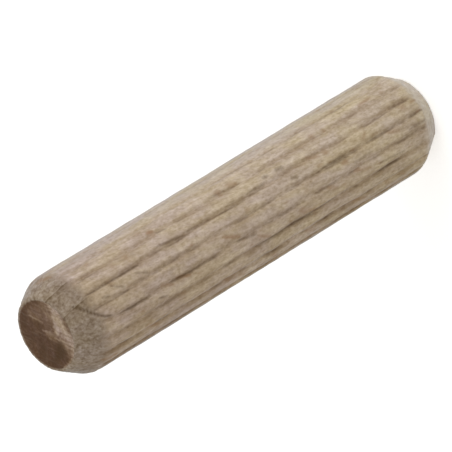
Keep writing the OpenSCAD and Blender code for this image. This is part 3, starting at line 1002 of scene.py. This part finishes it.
def sawn_colour(tree, finish, spot, grain):
    """The sawn ends: dark open grain with paler torn fibres that lie along the saw's stroke."""
    stroke_turned = add(tree, "ShaderNodeMapping", {
        "Vector": spot.place, "Rotation": (0, 0, -surface_angle(SAW_STROKE))}, vector_type="POINT")
    stroke = grain_noise(tree, stroke_turned, (1.6, 0.22, 1), detail=3.0)
    stroke_mark = add(tree, "ShaderNodeMapRange", {
        "Value": stroke, "From Min": 0.55, "From Max": 0.75, "To Min": 0.0, "To Max": 0.25})
    calm = add(tree, "ShaderNodeMix", {
        "Factor": 0.7, "A": (1, 1, 1, 1), "B": wood_tone(tree, grain.end_tone)}, data_type="RGBA")
    open_grain = add(tree, "ShaderNodeMix", {
        "Factor": 1.0, "A": calm, "B": grain.tint}, data_type="RGBA", blend_type="MULTIPLY")
    sawn_tone = add(tree, "ShaderNodeMix", {
        "Factor": 1.0, "A": tuple(finish.sawn_end), "B": open_grain}, data_type="RGBA",
        blend_type="MULTIPLY")
    blotted = add(tree, "ShaderNodeMix", {
        "Factor": spot.blot, "A": sawn_tone, "B": tuple(finish.blot)}, data_type="RGBA")
    stroked = add(tree, "ShaderNodeMix", {
        "Factor": stroke_mark, "A": blotted, "B": tuple(finish.chamfer)}, data_type="RGBA")
    torn_patch = add(tree, "ShaderNodeMapRange", {
        "Value": stroke, "From Min": 0.35, "From Max": 0.65, "To Min": 0.7, "To Max": 1.3})
    torn_amount = add(tree, "ShaderNodeMath", {0: spot.torn, 1: torn_patch}, operation="MULTIPLY")
    # Fibres only half torn are still brown.
    torn_colour = add(tree, "ShaderNodeMix", {
        "Factor": torn_amount, "A": tuple(finish.half_torn), "B": tuple(finish.torn)}, data_type="RGBA")
    torn_tone = add(tree, "ShaderNodeMix", {
        "Factor": 1.0, "A": torn_colour, "B": open_grain}, data_type="RGBA", blend_type="MULTIPLY")
    return add(tree, "ShaderNodeMix", {
        "Factor": torn_amount, "A": stroked, "B": torn_tone}, data_type="RGBA")


def beech_material(finish):
    """Beech, bare: turned from a square blank, with flutes pressed in hot and ends cut by a saw.

    To the eye: pale, dull and fine grained along the shank, browner in the pressed flutes, with
    short dark pores and a few ray flecks; greyer and speckled on the chamfers, which cut the
    fibres at a slant; dark and open on the sawn ends.
    """
    material = bpy.data.materials.new("beech_pressed_and_sawn")
    tree = emptied_tree(material)
    spot = spot_fields(tree)
    grain = grain_patterns(tree, spot.wood)
    turned = add(tree, "ShaderNodeMix", {
        "Factor": chamfer_share(tree, spot, grain), "A": shank_colour(tree, finish, spot, grain),
        "B": chamfer_colour(tree, finish, spot, grain)}, data_type="RGBA")
    whole = add(tree, "ShaderNodeMix", {
        "Factor": spot.sawn_end, "A": turned, "B": sawn_colour(tree, finish, spot, grain)},
        data_type="RGBA")

    # The finest fibres are relief only: 0.12 mm wide and a hundredth of a millimetre high.
    hair = grain_noise(tree, spot.wood, (0.12, 0.12, 0.3), detail=3.0)
    bump = add(tree, "ShaderNodeBump", {"Strength": 0.45, "Distance": 0.05 * MM, "Height": hair})
    # Raised fibres catch the light where the surface turns away from the eye: a faint grey sheen.
    surface = add(tree, "ShaderNodeBsdfPrincipled", {
        "Base Color": whole, "Roughness": 0.85, "IOR": 1.5, "Specular IOR Level": 0.03,
        "Sheen Weight": 0.45, "Sheen Roughness": 0.3, "Sheen Tint": (0.85, 0.97, 1.15, 1), "Normal": bump})
    add(tree, "ShaderNodeOutputMaterial", {"Surface": surface})
    return material


def looked_at(tree):
    """1 where a spot is looked at, straight or in a gloss or through glass, and 0 where it only lights."""
    rays = add(tree, "ShaderNodeLightPath").outputs
    seen = add(tree, "ShaderNodeMath", {
        0: rays["Is Camera Ray"], 1: rays["Is Glossy Ray"]}, operation="MAXIMUM")
    return add(tree, "ShaderNodeMath", {0: seen, 1: rays["Is Transmission Ray"]}, operation="MAXIMUM")


def floor_material(stage):
    """Matt painted board: evenly pale, so that only the soft shadow under the pin shows on it."""
    material = bpy.data.materials.new("board_matt_painted")
    tree = emptied_tree(material)
    # The even light already gives the paint most of its white; this adds the rest where it is seen.
    lift = add(tree, "ShaderNodeMath", {
        0: looked_at(tree), 1: 1 - stage.ambient * 0.8}, operation="MULTIPLY")
    paint = add(tree, "ShaderNodeBsdfDiffuse", {"Color": tuple(stage.floor)})
    glow = add(tree, "ShaderNodeEmission", {"Color": (1, 1, 1, 1), "Strength": lift})
    board = add(tree, "ShaderNodeAddShader", {0: paint, 1: glow})
    # Clear from below, so that the lower end can be looked at.
    from_below = add(tree, "ShaderNodeNewGeometry").outputs["Backfacing"]
    clear = add(tree, "ShaderNodeBsdfTransparent")
    one_sided = add(tree, "ShaderNodeMixShader", {0: from_below, 1: board, 2: clear})
    add(tree, "ShaderNodeOutputMaterial", {"Surface": one_sided})
    return material


# ---------------------------------------------------------------- stage

def place_camera(scene, stage):
    """The camera looks down on the upper end, turned so that the pin lies across the view."""
    towards = level_direction(surface_angle(0))
    tilt = stage.camera_elevation
    back = towards * math.cos(tilt) + Vector((0, 0, math.sin(tilt)))
    level_right = Vector((0, 0, 1)).cross(towards)
    level_up = back.cross(level_right)
    right = level_right * math.cos(stage.camera_roll) - level_up * math.sin(stage.camera_roll)
    up = level_right * math.sin(stage.camera_roll) + level_up * math.cos(stage.camera_roll)
    # The pin's middle stands a little right of the view's middle and a little above it.
    aim = (CAD_LOW + CAD_HIGH) / 2 - right * 0.365 * MM - up * 0.189 * MM
    data = bpy.data.cameras.new("camera")
    data.lens = stage.focal_length
    data.clip_start = 0.01
    data.clip_end = 10
    camera = bpy.data.objects.new("camera", data)
    place = Matrix((right, up, back)).transposed().to_4x4()
    place.translation = aim + back * stage.camera_distance
    camera.matrix_world = place
    scene.collection.objects.link(camera)
    scene.camera = camera


def place_surround(scene, stage):
    """An even pale surround, white where it is looked at."""
    world = bpy.data.worlds.new("studio")
    tree = emptied_tree(world)
    light = add(tree, "ShaderNodeBackground", {
        "Color": (*stage.ambient_tint, 1), "Strength": stage.ambient})
    white = add(tree, "ShaderNodeBackground", {"Color": (1, 1, 1, 1), "Strength": 1.0})
    surround = add(tree, "ShaderNodeMixShader", {0: looked_at(tree), 1: light, 2: white})
    add(tree, "ShaderNodeOutputWorld", {"Surface": surround})
    scene.world = world


def place_soft_box(scene, stage):
    """One soft box, low on the right of the front line."""
    towards = level_direction(surface_angle(0) + stage.key_turn) * math.cos(stage.key_height)
    towards.z = math.sin(stage.key_height)
    data = bpy.data.lights.new("soft_box", "AREA")
    data.shape = "DISK"
    data.size = stage.key_width
    data.color = stage.key_tint
    # A lamp of this power lights a white card at that distance to the key level.
    data.energy = stage.key_level * math.pi ** 2 * stage.key_distance ** 2
    lamp = bpy.data.objects.new("soft_box", data)
    lamp.location = (CAD_LOW + CAD_HIGH) / 2 + towards * stage.key_distance
    lamp.rotation_euler = towards.to_track_quat("Z", "Y").to_euler()
    lamp.visible_camera = False
    scene.collection.objects.link(lamp)


def place_floor(scene, stage):
    """A wide plain floor, open under the lower end so that light reaches it from below too."""
    sides = 64
    opening_radius = 2.88 * MM
    floor_radius = 3.0
    turns = [math.tau * side / sides for side in range(sides)]
    corners = [
        (reach * math.cos(turn), reach * math.sin(turn), CAD_LOW.z)
        for reach in (opening_radius, floor_radius) for turn in turns]
    faces = [
        (side, sides + side, sides + (side + 1) % sides, (side + 1) % sides) for side in range(sides)]
    mesh = bpy.data.meshes.new("floor")
    mesh.from_pydata(corners, [], faces)
    mesh.materials.append(floor_material(stage))
    floor = bpy.data.objects.new("floor", mesh)
    scene.collection.objects.link(floor)


# ---------------------------------------------------------------- operators

class AddDowelPin(bpy.types.Operator):
    """Make the fluted beech pin in place of the plain CAD one"""

    bl_idname = "mesh.add_fluted_dowel_pin"
    bl_label = "Add dowel pin"
    bl_options = {"REGISTER", "UNDO"}

    def execute(self, context):
        pin = context.scene.pin_settings
        material = beech_material(context.scene.pin_finish)
        tree, values = fluted_pin_tree(pin, material)
        piece = grown_piece("fluted_beech_pin", tree, values)
        cut_marks(piece.data, pin.length, pin.crest_radius)
        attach(piece, PIN_BODY)
        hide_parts(PIN_NODE)
        return {"FINISHED"}


class AddPinStage(bpy.types.Operator):
    """Make the floor, the studio light and the camera"""

    bl_idname = "scene.add_dowel_pin_stage"
    bl_label = "Add stage"
    bl_options = {"REGISTER", "UNDO"}

    def execute(self, context):
        scene = context.scene
        place_camera(scene, scene.pin_stage)
        place_surround(scene, scene.pin_stage)
        place_soft_box(scene, scene.pin_stage)
        place_floor(scene, scene.pin_stage)
        scene.view_settings.view_transform = "Standard"
        return {"FINISHED"}


class DowelPinPanel(bpy.types.Panel):
    """Lists the settings and operators in the 3D view's sidebar"""

    bl_idname = "VIEW3D_PT_dowel_pin"
    bl_label = "Dowel pin"
    bl_space_type = "VIEW_3D"
    bl_region_type = "UI"
    bl_category = "Dowel pin"

    def draw(self, context):
        scene = context.scene
        for title, settings, operator in (
                ("Pin", scene.pin_settings, AddDowelPin),
                ("Finish", scene.pin_finish, None),
                ("Stage", scene.pin_stage, AddPinStage)):
            box = self.layout.box()
            box.label(text=title)
            for name in settings.__annotations__:
                box.prop(settings, name)
            if operator:
                box.operator(operator.bl_idname)


CLASSES = (PinSettings, FinishSettings, StageSettings, AddDowelPin, AddPinStage, DowelPinPanel)


def register():
    for cls in CLASSES:
        bpy.utils.register_class(cls)
    bpy.types.Scene.pin_settings = bpy.props.PointerProperty(type=PinSettings)
    bpy.types.Scene.pin_finish = bpy.props.PointerProperty(type=FinishSettings)
    bpy.types.Scene.pin_stage = bpy.props.PointerProperty(type=StageSettings)


def unregister():
    del bpy.types.Scene.pin_stage
    del bpy.types.Scene.pin_finish
    del bpy.types.Scene.pin_settings
    for cls in reversed(CLASSES):
        bpy.utils.unregister_class(cls)


def main():
    register()
    bpy.ops.scene.add_dowel_pin_stage()
    bpy.ops.mesh.add_fluted_dowel_pin()


if __name__ == "__main__":
    main()
